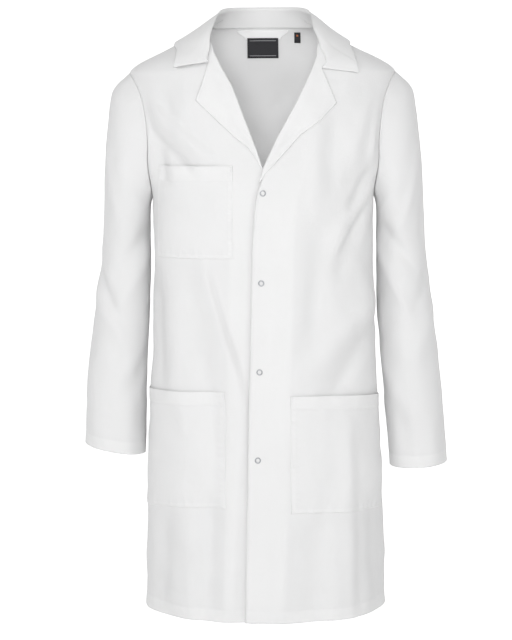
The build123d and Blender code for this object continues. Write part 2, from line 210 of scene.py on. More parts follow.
def noise(p, cell, seed=0):
    """Smooth random numbers from -1 to 1, with one random value at each corner of a lattice
    of cells and an S-shaped blend between corners."""
    q = p / np.asarray(cell, float) + 31.7 * (seed + 1)
    base = np.floor(q).astype(int)
    t = q - base
    t = t * t * (3 - 2 * t)
    total = 0.0
    for corner in np.ndindex(2, 2, 2):
        weight = np.prod(np.where(np.array(corner) == 1, t, 1 - t), axis=-1)
        i = (base + corner) % 24
        total = total + weight * noise_table[i[..., 0], i[..., 1], i[..., 2]]
    return total


def fold_sum(u, v, folds):
    """The folds' heights added up at (u, v): each is a bell across its line, with one flank
    softer than the other, and dies away past its two ends."""
    total = np.zeros(np.broadcast(u, v).shape)
    for u0, v0, u1, v1, width, height, *skew in folds:
        du, dv = u1 - u0, v1 - v0
        length = np.hypot(du, dv)
        along = ((u - u0) * du + (v - v0) * dv) / length ** 2
        off = ((u - u0) * dv - (v - v0) * du) / length
        flank = width * (1 + (skew[0] if skew else 0) * np.tanh(off / width))
        total = total + height * np.exp(-(off / flank) ** 2) * np.exp(-1.3 * (2 * along - 1) ** 4)
    return total


def drape(p):
    """How far the cloth of the body stands out of its plain surface at p: the folds seen from
    the front or the back, soft flutes that grow towards the hem, small crumples, and the
    puckers over the hem's stitching."""
    x, y, z = p[..., 0], p[..., 1], p[..., 2]
    front, back = step_up(-y, 5, 45), step_up(y, 5, 45)
    near_hem = step_up(-z, 380, 1030)
    flutes = noise(p * (1, 1, 0.18), (58, 70, 60), 1)
    crumple = noise(p, (46, 60, 52), 2) + 0.5 * noise(p, (21, 27, 25), 3)
    studs = bell(x - stud_line(z), 30) * step_up(-z, 240, 300)
    calm = 1 - 0.75 * studs
    lift = front * fold_sum(x, z, FRONT_FOLDS) + back * fold_sum(x, z, BACK_FOLDS)
    lift = lift + (0.6 + 3.0 * near_hem) * flutes + 1.4 * crumple
    shoulder = step_up(z, -130, -60)
    from_armhole = np.hypot(y / ARMHOLE_DEPTH, (z - ARMHOLE_MID_Z) / ARMHOLE_HALF)
    free = np.where(np.abs(x) > 140, step_up(from_armhole, 1.0, 1.2), 1)
    around = np.arctan2(y, x) * 180
    pucker = np.sin(around * 2 * np.pi / 15 + 3 * noise(p, 40, 4)) * (0.5 + 0.5 * noise(p, 26, 5))
    over_stitches = bell(z - HEM_Z - HEM_HEIGHT, 3.0)
    hem = 0.4 * pucker * bell(z - HEM_Z - 13, 13) - 0.45 * over_stitches
    return 1.5 * lift * calm * free * (1 - 0.85 * shoulder) + hem


def ring(theta, z, profile, sink=0.0):
    """Points of a body or collar surface: at height z a superellipse, whose half depth in
    front is less by sink."""
    theta, z = np.broadcast_arrays(theta, np.asarray(z, float))
    half_x, half_y, square = (smooth(z, profile[:, 0], profile[:, k]) for k in (1, 2, 3))
    c, s = np.cos(theta), np.sin(theta)
    reach = (np.abs(c) ** square + np.abs(s) ** square) ** (-1 / square)
    return np.stack([half_x * c * reach, (half_y - np.where(s < 0, sink, 0)) * s * reach, z], -1)


def turn_at(x, z, profile=BODY):
    """The turn, from -90 degrees in front to 0 at the side, of the surface's point at (x, z)."""
    half_x, square = smooth(z, profile[:, 0], profile[:, 1]), smooth(z, profile[:, 0], profile[:, 3])
    share = np.clip(np.asarray(x, float) / half_x, -1, 1)
    depth = (1 - np.abs(share) ** square) ** (1 / square)
    return np.arctan2(-depth, share)


def outward_normals(first, second, outward):
    """Unit normals square to two directions in a surface, on the side that outward shows."""
    normal = np.cross(first, second)
    normal /= np.linalg.norm(normal, axis=-1, keepdims=True)
    against = (normal * outward).sum(-1) < 0
    return np.where(against[..., None], -normal, normal)


def raised(theta, z, lift=0.0, side=LEFT, profile=BODY, draped=1.0):
    """Points that stand out of a surface along its normal by lift plus the drape, and the
    normals. The right side is the left one mirrored."""
    sink = SINK[side]
    p = ring(theta, z, profile, sink)
    along = ring(theta + 1e-3, z, profile, sink) - p
    up = ring(theta, np.asarray(z, float) + 0.05, profile, sink) - p
    normal = outward_normals(along, up, p * (1, 1, 0))
    mirror = np.array([side, 1, 1])
    p, normal = p * mirror, normal * mirror
    return p + normal * (lift + draped * drape(p))[..., None], normal


def front_point(x, z, lift=0.0, side=LEFT):
    """Points of a front at distance x from the middle and height z."""
    return raised(turn_at(x, z), z, lift, side)


def collar_point(turn, z, lift, profile=COLLAR):
    """Points of the collar, which has no drape."""
    return raised(turn, z, lift, LEFT, profile, 0.0)


def round_edge(distance, radius):
    """0 at an edge and 1 from the radius on, along a quarter circle."""
    return np.sqrt(1 - (1 - np.clip(distance / radius, 0, 1)) ** 2)


# --- meshes ------------------------------------------------------------------------------
def sheet_mesh(name, points, doubled_painted_light=0.0, closed=False):
    """A mesh over a grid of points, rows by columns. closed joins the last column to the
    first. The UV map is the length along the rows and down the columns, in metres, and a
    point attribute holds painted light: at 1 the cloth is drawn in the brighter tone of two layers, at 0 in
    the greyer tone of one."""
    rows, cols = points.shape[:2]
    at = np.arange(rows * cols).reshape(rows, cols)
    right = np.roll(at, -1, axis=1) if closed else at[:, 1:]
    left = at if closed else at[:, :-1]
    faces = np.stack([left[:-1], right[:-1], right[1:], left[1:]], -1).reshape(-1, 4)
    mesh = bpy.data.meshes.new(name)
    mesh.vertices.add(rows * cols)
    mesh.vertices.foreach_set("co", (points.reshape(-1) * MM).astype(np.float32))
    mesh.loops.add(faces.size)
    mesh.loops.foreach_set("vertex_index", faces.reshape(-1).astype(np.int32))
    mesh.polygons.add(len(faces))
    mesh.polygons.foreach_set("loop_start", np.arange(0, faces.size, 4, dtype=np.int32))
    mesh.polygons.foreach_set("use_smooth", np.ones(len(faces), bool))
    mesh.update(calc_edges=True)
    wide = np.pad(np.linalg.norm(np.diff(points, axis=1), axis=-1), ((0, 0), (1, 0))).cumsum(1)
    tall = np.pad(np.linalg.norm(np.diff(points, axis=0), axis=-1), ((1, 0), (0, 0))).cumsum(0)
    across_cloth = wide - wide[:, cols // 2][:, None]
    down_cloth = np.repeat(tall[:, cols // 2][:, None], cols, 1)
    flat = np.stack([across_cloth, down_cloth], -1).reshape(-1, 2) * MM
    layer = mesh.uv_layers.new(name="weave")
    layer.data.foreach_set("uv", flat[faces.reshape(-1)].reshape(-1).astype(np.float32))
    shade = np.broadcast_to(doubled_painted_light, (rows, cols)).reshape(-1).astype(np.float32)
    mesh.attributes.new("doubled_painted_light", "FLOAT", "POINT").data.foreach_set("value", shade)
    piece = bpy.data.objects.new(name, mesh)
    bpy.context.scene.collection.objects.link(piece)
    return piece


def thicken(piece, thickness=CLOTH, offset=-1.0):
    """Gives a sheet its thickness, inwards from its points, with closed edges."""
    solid = piece.modifiers.new("thickness", "SOLIDIFY")
    solid.thickness = thickness * MM
    solid.offset = offset
    solid.use_even_offset = False
    return piece


def lies_flat(points):
    """Measures a sheet's longest row and longest column along the cloth, and keeps neither."""
    wide = np.linalg.norm(np.diff(points, axis=1), axis=-1).sum(1).max() * MM
    tall = np.linalg.norm(np.diff(points, axis=0), axis=-1).sum(0).max() * MM


def faces_outward(piece, points, normals):
    """Turns the whole sheet over if its faces look against the given normals."""
    rows, cols = points.shape[:2]
    i, j = rows // 2, cols // 2
    du, dv = points[i, j + 1] - points[i, j], points[i + 1, j] - points[i, j]
    if np.dot(np.cross(du, dv), normals[i, j]) < 0:
        piece.data.flip_normals()
    return piece


def dress(piece, material, slot):
    """Gives a piece its material; the slot is not used."""
    piece.data.materials.append(material)
    return piece


# --- materials ---------------------------------------------------------------------------
def set_values(node, values):
    for socket, value in values.items():
        node.inputs[socket].default_value = value


def node_maker(name):
    """A new material: its shader, a function that adds a node with its values and settings,
    and the function that links two sockets."""
    material = bpy.data.materials.new(name)
    material.use_nodes = True
    tree = material.node_tree

    def add(kind, values=None, **settings):
        node = tree.nodes.new("ShaderNode" + kind)
        for setting, value in settings.items():
            setattr(node, setting, value)
        set_values(node, values or {})
        return node

    return material, tree.nodes["Principled BSDF"], add, tree.links.new


def cloth_material(name, one_layer_shaded, two_layers_lit, weave_height=0.18, sheen=0.12):
    """White twill: fine diagonal ribs and uneven yarns as bump, a soft crumple, painted shade that
    makes one layer slightly greyer than two, for the light that passes through thin cloth, and a faint
    sheen."""
    material, shader, add, link = node_maker(name)
    place, where = add("UVMap", uv_map="weave"), add("TexCoord")
    ribs = add("TexWave", {"Scale": 420.0, "Distortion": 1.2, "Detail Scale": 2.0},
               wave_type="BANDS", bands_direction="DIAGONAL", wave_profile="SIN")
    yarn = add("TexNoise", {"Scale": 900.0, "Detail": 2.0})
    crumple = add("TexNoise", {"Scale": 46.0, "Detail": 4.0, "Roughness": 0.55})
    mottle = add("TexNoise", {"Scale": 9.0, "Detail": 3.0})
    for pattern in (ribs, yarn):
        link(place.outputs["UV"], pattern.inputs["Vector"])
    for pattern in (crumple, mottle):
        link(where.outputs["Object"], pattern.inputs["Vector"])
    fine = add("Math", operation="ADD")
    link(ribs.outputs["Fac"], fine.inputs[0])
    link(yarn.outputs["Fac"], fine.inputs[1])
    soft = add("Bump", {"Strength": 0.35, "Distance": 0.0022})
    link(crumple.outputs["Fac"], soft.inputs["Height"])
    weave = add("Bump", {"Strength": weave_height, "Distance": 0.0003})
    link(fine.outputs[0], weave.inputs["Height"])
    link(soft.outputs["Normal"], weave.inputs["Normal"])
    link(weave.outputs["Normal"], shader.inputs["Normal"])
    # Painted light and shade: a point attribute blends from the greyer one-layer tone to the brighter
    # two-layer tone.
    layers = add("Attribute", attribute_name="doubled_painted_light")
    tone = add("Mix", data_type="RGBA")
    set_values(tone, {6: (*one_layer_shaded, 1), 7: (*two_layers_lit, 1)})
    link(layers.outputs["Fac"], tone.inputs[0])
    band = add("MapRange", {"To Min": 0.965, "To Max": 1.0})
    link(mottle.outputs["Fac"], band.inputs["Value"])
    shade = add("Mix", {0: 1.0}, data_type="RGBA", blend_type="MULTIPLY")
    link(tone.outputs[2], shade.inputs[6])
    link(band.outputs[0], shade.inputs[7])
    link(shade.outputs[2], shader.inputs["Base Color"])
    set_values(shader, {"Roughness": 0.88, "Specular IOR Level": 0.25, "Sheen Weight": sheen,
                        "Sheen Roughness": 0.5})
    return material


def thread_material():
    """Matt white thread with a fine twist as bump."""
    material, shader, add, link = node_maker("white_thread")
    twist, bump = add("TexNoise", {"Scale": 1500.0}), add("Bump", {"Distance": 0.0001})
    link(add("TexCoord").outputs["Object"], twist.inputs["Vector"])
    link(twist.outputs["Fac"], bump.inputs["Height"])
    link(bump.outputs["Normal"], shader.inputs["Normal"])
    set_values(shader, {"Base Color": (0.74, 0.74, 0.75, 1), "Roughness": 0.6, "Sheen Weight": 0.2})
    return material


def metal_material(name, colour, roughness, metallic):
    """Plated or enamelled metal with fine wear in its gloss."""
    material, shader, add, link = node_maker(name)
    wear = add("TexNoise", {"Scale": 700.0, "Detail": 4.0})
    gloss = add("MapRange", {"To Min": roughness * 0.7, "To Max": roughness * 1.3})
    link(add("TexCoord").outputs["Object"], wear.inputs["Vector"])
    link(wear.outputs["Fac"], gloss.inputs["Value"])
    link(gloss.outputs[0], shader.inputs["Roughness"])
    set_values(shader, {"Base Color": (*colour, 1), "Metallic": metallic})
    return material


def tape_material(name, colour, thread):
    """Woven label tape: dense ribs of one colour with a paler thread showing between."""
    material, shader, add, link = node_maker(name)
    ribs = add("TexWave", {"Scale": 900.0, "Distortion": 0.6})
    tone = add("Mix", data_type="RGBA")
    set_values(tone, {6: (*colour, 1), 7: (*thread, 1)})
    bump = add("Bump", {"Strength": 0.4, "Distance": 0.0002})
    link(add("UVMap", uv_map="weave").outputs["UV"], ribs.inputs["Vector"])
    link(ribs.outputs["Fac"], tone.inputs[0])
    link(tone.outputs[2], shader.inputs["Base Color"])
    link(ribs.outputs["Fac"], bump.inputs["Height"])
    link(bump.outputs["Normal"], shader.inputs["Normal"])
    set_values(shader, {"Roughness": 0.7})
    return material


# The twill's first tone is painted shade on one layer of cloth, and its second is painted light on two.
twill = cloth_material("white_twill", (0.775, 0.775, 0.776), (0.80, 0.80, 0.80))
# Painted light: the neck patch is drawn much paler than the twill so that it looks lit, though it lies in
# the shade inside the back.
lit_patch_cloth = cloth_material("lit_patch_tape", (0.93, 0.93, 0.93), (0.93, 0.93, 0.93))
felt = cloth_material("white_interlining", (0.76, 0.76, 0.75), (0.76, 0.76, 0.75), 0.05, 0.0)
thread = thread_material()
ring_metal = metal_material("pearl_ring", (0.42, 0.43, 0.45), 0.32, 0.85)
plated_metal = metal_material("plated_stud", (0.62, 0.62, 0.63), 0.25, 1.0)
black_tape = tape_material("black_tape", (0.012, 0.012, 0.014), (0.03, 0.03, 0.034))
pale_tape = tape_material("pale_tape", (0.30, 0.30, 0.31), (0.42, 0.42, 0.43))
orange_tape = tape_material("orange_tape", (0.55, 0.12, 0.02), (0.62, 0.18, 0.05))

# --- how the pieces are placed -----------------------------------------------------------
# A front's swing at the armhole and below the waist, and a sleeve's at its seam and near the
# cuff. follow reads them, but no piece is turned by them.
FRONT_SWING = ((-0.066, 0.0, -0.088), (-0.198, 0.0, -0.264))
SLEEVE_SWING = ((0.178, 0.0, -0.308), (0.368, 0.0, -0.637))


def follow(piece, body):
    """A piece rides on the coat's body; a piece of a front or a sleeve only has its placement baked into
    its mesh and rides on nothing.
    """
    if body == "coat_body":
        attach(piece, body)
        return
    side = LEFT if body.startswith("left") else RIGHT
    swing = FRONT_SWING if body.endswith("front") else SLEEVE_SWING
    start, end = ((side * x, y, z) for x, y, z in swing)
    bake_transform(piece)
    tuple(start)
    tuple(end)


def sew(name, points, normals, nodes, body, doubled_painted_light=1.0, thickness=CLOTH, cut=None, closed=False):
    """A piece of twill over a grid of points, in place of its CAD nodes. The size it is cut to
    is not used; a piece given none is measured along the cloth, and the measure is not kept."""
    # Painted light: unless told otherwise, the piece is drawn in the brighter tone of two layers.
    piece = sheet_mesh(name, points, doubled_painted_light, closed)
    thicken(faces_outward(piece, points, normals), thickness)
    dress(piece, twill, "coat_cloth")
    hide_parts(*nodes)
    if cut:
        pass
    else:
        lies_flat(np.concatenate([points, points[:, :1]], 1) if closed else points)
    follow(piece, body)


# --- panels of the body ------------------------------------------------------------------
def armhole_turn(z, sink=SINK[LEFT]):
    """The turn at which the armhole's oval cuts a ring of the body, 0 where it misses it."""
    share = np.clip((z - ARMHOLE_MID_Z) / ARMHOLE_HALF, -1, 1)
    reach = ARMHOLE_DEPTH * np.sqrt(1 - share ** 2)
    half_y, square = smooth(z, BODY[:, 0], BODY[:, 2]) - sink, smooth(z, BODY[:, 0], BODY[:, 3])
    deep = np.clip(reach / half_y, 0, 1)
    return np.arctan2(deep, (1 - deep ** square) ** (1 / square))


def body_rows(top):
    """Heights of the rows of a body panel from its top to the hem: close together over the
    shoulder and at the ends of the armhole."""
    hem_top = HEM_Z + 34
    shoulder = np.linspace(top, ARMHOLE_TOP_Z, 34)[:-1]
    armhole = ARMHOLE_MID_Z + ARMHOLE_HALF * np.cos(np.linspace(0, np.pi, 72))
    below = np.linspace(ARMHOLE_LOW_Z, hem_top, 205)[1:]
    hem = np.linspace(hem_top, HEM_Z, 18)[1:]
    return np.concatenate([shoulder, armhole, below, hem])


def hem_rows():
    """Heights of the rows of a turned-up hem."""
    return np.linspace(HEM_Z + HEM_HEIGHT, HEM_Z + 0.4, 12)[:, None]


def in_hem(z):
    """1 where the hem doubles the cloth, and 0 above it."""
    return step_up(-z, -HEM_Z - HEM_HEIGHT - 1, -HEM_Z - HEM_HEIGHT + 1)


def seam_dip(turn, z):
    """A shallow groove where a panel is sewn at the side seam, the shoulder or the armhole."""
    half_x = smooth(z, BODY[:, 0], BODY[:, 1])
    return -0.5 * bell(turn * half_x * 0.6, 2.5)


def make_back():
    """The back: rings of the body from side seam to side seam, less the two armholes."""
    z = body_rows(BACK_TOP_Z)[:, None]
    u = np.linspace(0, 1, 141)[None, :]
    cut = armhole_turn(z)
    theta = cut + (np.pi - 2 * cut) * u
    dip = seam_dip(theta - cut, z) + seam_dip(np.pi - cut - theta, z)
    points, normals = raised(theta, z, dip)
    sew("back_cloth", points, normals, ["back_panel"], "coat_body", in_hem(z), cut=(0.62, 1.05, 0.56))
    theta = np.linspace(0.004, np.pi - 0.004, 171)[None, :]
    points, normals = raised(theta, hem_rows(), BEHIND_ONE_LAYER)
    sew("back_hem_fold", points, normals, ["back_hem"], "coat_body", thickness=0.8)


def inner_edge(z, side):
    """Distance from the middle of a front's inner edge: the roll line above the break, and the
    front edge below it."""
    roll = across(z, ROLL_LINE[side])
    edge = side * stud_line(z) + across(z, FRONT_EDGE[side])
    mix = step_up(-z, -BREAK_Z - 14, -BREAK_Z + 2)
    return roll * (1 - mix) + edge * mix


def make_front(side):
    """A front: rings of the body from the roll line or front edge to the side, with the
    armhole cut out."""
    name = NAME[side]
    z = body_rows(FRONT_TOP_Z)[:, None]
    edge = inner_edge(z, side)
    start = turn_at(edge, z)
    cut = np.maximum(-armhole_turn(z, SINK[side]), start)
    u = np.linspace(0, 1, 96)[None, :] ** 0.94
    theta = start + (cut - start) * u
    flat_x = ring(theta, z, BODY)[..., 0]
    turned = step_up(-z, 235, 275)
    facing = step_up(FACING_WIDTH - (flat_x - edge), -4, 4)
    # Painted light: the facing and the hem are drawn brighter, the facing only faintly at the top and fully
    # from about 330 mm down.
    doubled_painted_light = np.maximum(facing * (0.2 + 0.8 * step_up(-z, 200, 330)), in_hem(z))
    step = 0.55 * facing * turned
    rounded = -1.0 * bell(flat_x - edge, 1.6) * turned
    points, normals = raised(theta, z, seam_dip(theta - cut, z) + step + rounded, side)
    nodes = [f"{name}_front_upper", f"{name}_front_lower"]
    sew(f"{name}_front_cloth", points, normals, nodes, f"{name}_front", doubled_painted_light, cut=(0.34, 1.05, 0.29))
    make_facing(side)
    make_front_hem(side)


def make_facing(side):
    """The strip behind the front edge, one layer under the front."""
    name = NAME[side]
    z = np.linspace(BREAK_Z - 12, HEM_Z + 0.5, 220)[:, None]
    x = inner_edge(z, side) + 0.6 + (FACING_WIDTH - 1.0) * np.linspace(0, 1, 26)[None, :]
    points, normals = front_point(x, z, BEHIND_ONE_LAYER, side)
    sew(f"{name}_facing_cloth", points, normals, [f"{name}_facing"], f"{name}_front")


def make_front_hem(side):
    """A front's turned-up hem, from the facing to the side seam."""
    name = NAME[side]
    z = hem_rows()
    start = turn_at(inner_edge(z, side) + FACING_WIDTH + 1.0, z)
    theta = start + (-0.004 - start) * np.linspace(0, 1, 80)[None, :]
    points, normals = raised(theta, z, BEHIND_ONE_LAYER, side)
    sew(f"{name}_hem_fold", points, normals, [f"{name}_front_hem"], f"{name}_front", thickness=0.8)


# --- lapels and collar -------------------------------------------------------------------
LAPEL_LIFT = 2.6
ROLL_RADIUS = 2.4


def lapel_lift(x, z, side):
    """Height of a lapel over the front: full over most of it, puffed along the roll line,
    and down to the cloth at its edge."""
    roll, edge = across(z, ROLL_LINE[side]), across(z, LAPEL_EDGE[side])
    from_edge = np.maximum(edge - x, 0)
    from_roll = np.maximum(x - roll, 0)
    puff = 3.4 * bell(from_roll - 6, 16) * step_up(-z, 40, 110) * step_up(z, -262, -225)
    rounded = round_edge(from_edge, 1.8)
    ripple = 0.8 * noise(np.stack([x, z + 0 * x, 0 * x], -1), (34, 60, 1), 8)
    return 1.0 + (LAPEL_LIFT - 1.0) * rounded + puff * step_up(from_edge, 2, 24) + ripple


def make_lapel(side):
    """A lapel: rows from its edge to the roll line, then round the roll to the inside, where
    the strip runs on behind the front."""
    name = NAME[side]
    top, notch, point, low = (LAPEL_EDGE[side][k][1] for k in (0, 3, 4, -1))
    z = np.concatenate([np.linspace(top - 0.5, notch, 40)[:-1], np.linspace(notch, point, 50)[:-1],
                        np.linspace(point, low + 13, 96)])[:, None]
    roll, edge = across(z, ROLL_LINE[side]), across(z, LAPEL_EDGE[side])
    width = np.maximum(edge - roll, 0.4)
    x = roll + width * np.linspace(1, 0, 46)[None, :]
    lift = lapel_lift(x, z, side)
    at_roll = lift[:, -1:]
    turn = np.linspace(0, np.pi, 11)[None, 1:]
    x_round = roll - np.minimum(ROLL_RADIUS, 0.5 + width * 0.2) * np.sin(turn)
    lift_round = at_roll + (-1.3 - at_roll) * (1 - np.cos(turn)) / 2
    inside = np.linspace(0, 1, 9)[None, 1:] * np.minimum(24.0, 3 + width)
    x = np.concatenate([x, x_round, roll + inside], 1)
    lift = np.concatenate([lift, lift_round, np.repeat(lift_round[:, -1:], 8, 1)], 1)
    points, normals = front_point(x, z, lift, side)
    sew(f"{name}_lapel_cloth", points, normals, [f"{name}_lapel"], f"{name}_front")


def collar_half(side):
    """Turn and height of the collar leaf's roll line and outer edge, from the notch to the
    middle of the back."""
    edge_x, edge_z = np.array(COLLAR_EDGE[side], float).T
    edge_turn = turn_at(edge_x, edge_z, COLLAR)
    tip = edge_turn[0]
    notch_z = COLLAR_NOTCH[side][1]
    notch = turn_at(*COLLAR_NOTCH[side], COLLAR)
    corner = turn_at(*ROLL_LINE[side][2], COLLAR)
    turn = np.concatenate([np.linspace(notch, tip, 30), np.linspace(tip, QUARTER, 110)[1:]])
    knots = [notch, corner, -0.68, -0.4, -0.05, 0.7, QUARTER]
    top = smooth(turn, knots, [notch_z, ROLL_LINE[side][2][1], -5.0, 11.0, 20.0, 26.5, 27.0])
    knots = np.append(edge_turn, [-0.3, -0.1, 0.1, 0.5, QUARTER])
    behind_tip = smooth(turn, knots, np.append(edge_z, [-36.5, -33.5, -32.5, -35.0, -42.0]))
    towards_tip = np.interp(turn, [notch, tip], [notch_z - 1.0, edge_z[0]])
    return turn, top, np.where(turn < tip, towards_tip, behind_tip)


def collar_outline():
    """Turn, roll line and outer edge of the whole collar leaf, from the left notch round the
    back to the right notch, at the turns of the mesh's columns."""
    left, right = collar_half(LEFT), collar_half(RIGHT)
    turn = np.concatenate([left[0], (np.pi - right[0])[::-1][1:]])
    top, low = (np.concatenate([left[k], right[k][::-1][1:]]) for k in (1, 2))
    return turn[None, :], top[None, :], low[None, :]


def collar_lift(turn, v, height):
    """Height of the leaf over the shoulders: highest behind the roll, and down at its edge."""
    rounded = round_edge((1 - v) * np.abs(height), 2.0)
    p = np.stack([90 * np.cos(turn) + 0 * v, 90 * np.sin(turn) + 0 * v, height * v + 0 * turn], -1)
    ripple = 0.9 * noise(p, (30, 30, 24), 9) + 0.4 * noise(p, (13, 13, 30), 10)
    over_edge = 1.6 + 2.0 * rounded + step_up(v, 0.0, 0.2)
    return over_edge + 1.4 * bell(v - 0.3, 0.25) + 1.4 * ripple * v


def narrowed(points):
    """The collar's top stands a little closer to the neck on the wearer's right."""
    share = 1 - 0.1 * step_up(points[..., 2], -30, 25) * (points[..., 0] < 0)
    return points * np.stack([share, np.ones_like(share), np.ones_like(share)], -1)


def make_collar():
    """The top collar: a leaf from its edge up to the roll line, round the roll, and down the
    inside of the stand to the neck seam. Under it lie the interlining and the under collar."""
    turn, top, low = collar_outline()
    v = np.linspace(1, 0, 46)[:, None]
    height = top - low
    lift = collar_lift(turn, v, height)
    leaf, normals = collar_point(turn, top - height * v, lift)
    foot_z = np.minimum(top - 6.0, BACK_TOP_Z - 1.0)
    w = np.linspace(0, 1, 22)[1:, None]
    stand, _ = collar_point(turn, top + (foot_z - top) * w, -0.6, STAND)
    beneath_z = top - np.minimum(height * 0.5, 20.0) * w
    beneath, _ = collar_point(turn, beneath_z, lift[-1:] - 2.2 - 2.0 * w)
    to_back = (step_up(turn, -0.3, 0.2) * step_up(np.pi - turn, -0.3, 0.2))[..., None]
    stand = beneath + (stand - beneath) * to_back
    bend = np.linspace(0, np.pi, 9)[1:-1, None, None]
    first, last = leaf[-1:], stand[:1]
    middle, half = (first + last) / 2, (first - last) / 2
    rise = np.array([0, 0, 1.0]) * np.linalg.norm(half, axis=-1, keepdims=True)
    roll = middle + half * np.cos(bend) + rise * np.sin(bend) * 0.9
    layers = [("top_collar_cloth", ["top_collar", "collar_stand"], twill, "coat_cloth", CLOTH,
               np.concatenate([leaf, roll, stand], 0), normals)]
    under = (("under_collar_cloth", "under_collar", twill, "coat_cloth", 0.5, 2.2, 0.985),
             ("collar_felt", "collar_interlining", felt, "interlining", 0.25, 1.25, 0.95))
    for name, node, material, slot, thickness, drop, reach in under:
        v = np.linspace(reach, 0.06, 30)[:, None]
        points, normals = collar_point(turn, top - height * v, collar_lift(turn, v, height) - drop)
        inner = (slice(None), slice(3, -3))
        layers.append((name, [node], material, slot, thickness, points[inner], normals[inner]))
    for name, nodes, material, slot, thickness, points, normals in layers:
        # Painted light: every collar layer is drawn in the brighter two-layer tone.
        piece = sheet_mesh(name, narrowed(points), 1.0)
        thicken(faces_outward(piece, points, normals), thickness)
        dress(piece, material, slot)
        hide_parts(*nodes)
        lies_flat(points)
        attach(piece, "coat_body")


# --- sleeves -----------------------------------------------------------------------------
def sleeve_lengths(sections):
    """Distance down the sleeve of each section, halfway between its inner and outer edge."""
    middle = (sections[:, 0:2] + sections[:, 2:4]) / 2
    steps = np.linalg.norm(np.diff(middle, axis=0), axis=1)
    return np.concatenate([[0], steps.cumsum()])


SLEEVE_AT = {side: sleeve_lengths(SLEEVE[side]) for side in (LEFT, RIGHT)}
SLEEVE_LONG = {side: SLEEVE_AT[side][-1] for side in (LEFT, RIGHT)}
MM_PER_DEGREE = 0.95        # round a sleeve


def tube(turn, t, side):
    """Points of a sleeve's plain tube: an ellipse carried down the sections, whose ends,
    depth and middle run smoothly from one section to the next."""
    x0, z0, x1, z1, deep, mid_y = (smooth(t, SLEEVE_AT[side], SLEEVE[side][:, k]) for k in range(6))
    c, s = np.cos(turn), np.sin(turn)
    x = (x0 + x1) / 2 + (x1 - x0) / 2 * c
    z = (z0 + z1) / 2 + (z1 - z0) / 2 * c
    return np.stack(np.broadcast_arrays(x, mid_y + deep * s, z), -1)


def armhole_edge(turn, side):
    """Points of the armhole on the body: the oval's depth and height, with X from the body."""
    y = ARMHOLE_DEPTH * np.sin(turn)
    z = ARMHOLE_MID_Z + ARMHOLE_HALF * np.cos(turn)
    half_x, half_y, square = (smooth(z, BODY[:, 0], BODY[:, k]) for k in (1, 2, 3))
    half_y = half_y - np.where(y < 0, SINK[side], 0)
    deep = np.clip(np.abs(y / half_y), 0, 1)
    return np.stack([half_x * (1 - deep ** square) ** (1 / square), y, z], -1)


def sleeve_surface(turn, t, side):
    """The plain tube, drawn to the armhole's edge over its first 70 mm."""
    p = tube(turn, t, side)
    pull = armhole_edge(turn, side) - tube(turn, np.zeros_like(t), side)
    return p + pull * (1 - step_up(t, 0, 70))[..., None]


def sleeve_point(turn, t, lift, side):
    """Points that stand out of the sleeve by lift plus its creases, and the normals."""
    turn, t = np.broadcast_arrays(np.asarray(turn, float), np.asarray(t, float))
    p = sleeve_surface(turn, t, side)
    around = sleeve_surface(turn + 1e-3, t, side) - p
    down = sleeve_surface(turn, t + 0.05, side) - p
    normal = outward_normals(down, around, tube(turn, t, side) - tube(turn + np.pi, t, side))
    mirror = np.array([side, 1, 1])
    p, normal = p * mirror, normal * mirror
    degrees = (np.degrees(turn) + 180) % 360 - 180
    long = SLEEVE_LONG[side]
    folds = [(a * MM_PER_DEGREE, t0, b * MM_PER_DEGREE, t1, *rest)
             for a, t0, b, t1, *rest in SLEEVE_FOLDS[side]]
    folds = fold_sum(degrees * MM_PER_DEGREE, t, folds)
    crumple = 1.5 * noise(p, (40, 46, 60), 11) + 0.7 * noise(p, (18, 20, 26), 12)
    gathers = 0.5 * np.sin(degrees / 4.1 + 2 * noise(p, 30, 13)) * bell(t - 7, 9)
    seam = -0.5 * bell(t, 2.5)
    cuff = t - (long - HEM_HEIGHT)
    pucker = np.sin(degrees / 7.3 + 2.5 * noise(p, 30, 14)) * (0.5 + 0.5 * noise(p, 20, 15))
    stitched = 0.35 * pucker * bell(cuff - 9, 11) - 0.4 * bell(cuff, 2.6)
    loose, calm = step_up(t, 14, 90), 1 - 0.5 * step_up(t, long - 60, long)
    out = lift + loose * calm * (folds + crumple) + gathers + seam + stitched
    return p + normal * out[..., None], normal


def make_sleeve(side):
    """A sleeve from the armhole seam to the cuff, and the cuff's turned-up hem inside it."""
    name, long = NAME[side], SLEEVE_LONG[side]
    body = f"{name}_sleeve_tube"
    turn = np.linspace(0, 2 * np.pi, 121)[None, :-1]
    t = np.concatenate([np.linspace(0, 24, 12)[:-1], np.linspace(24, long - 30, 170)[:-1],
                        np.linspace(long - 30, long, 16)])[:, None]
    points, normals = sleeve_point(turn, t, 0.0, side)
    # Painted light: the cuff's turned-up hem is drawn in the brighter two-layer tone.
    doubled_painted_light = step_up(t, long - HEM_HEIGHT - 1, long - HEM_HEIGHT + 1)
    sew(f"{name}_sleeve_cloth", points, normals, [f"{name}_sleeve_head", f"{name}_sleeve"], body,
        doubled_painted_light, cut=(0.44, 0.66, 0.245), closed=True)
    t = np.linspace(long - HEM_HEIGHT, long - 0.4, 12)[:, None]
    points, normals = sleeve_point(turn, t, BEHIND_ONE_LAYER, side)
    sew(f"{name}_cuff_fold", points, normals, [f"{name}_cuff_hem"], body, thickness=0.8, closed=True)


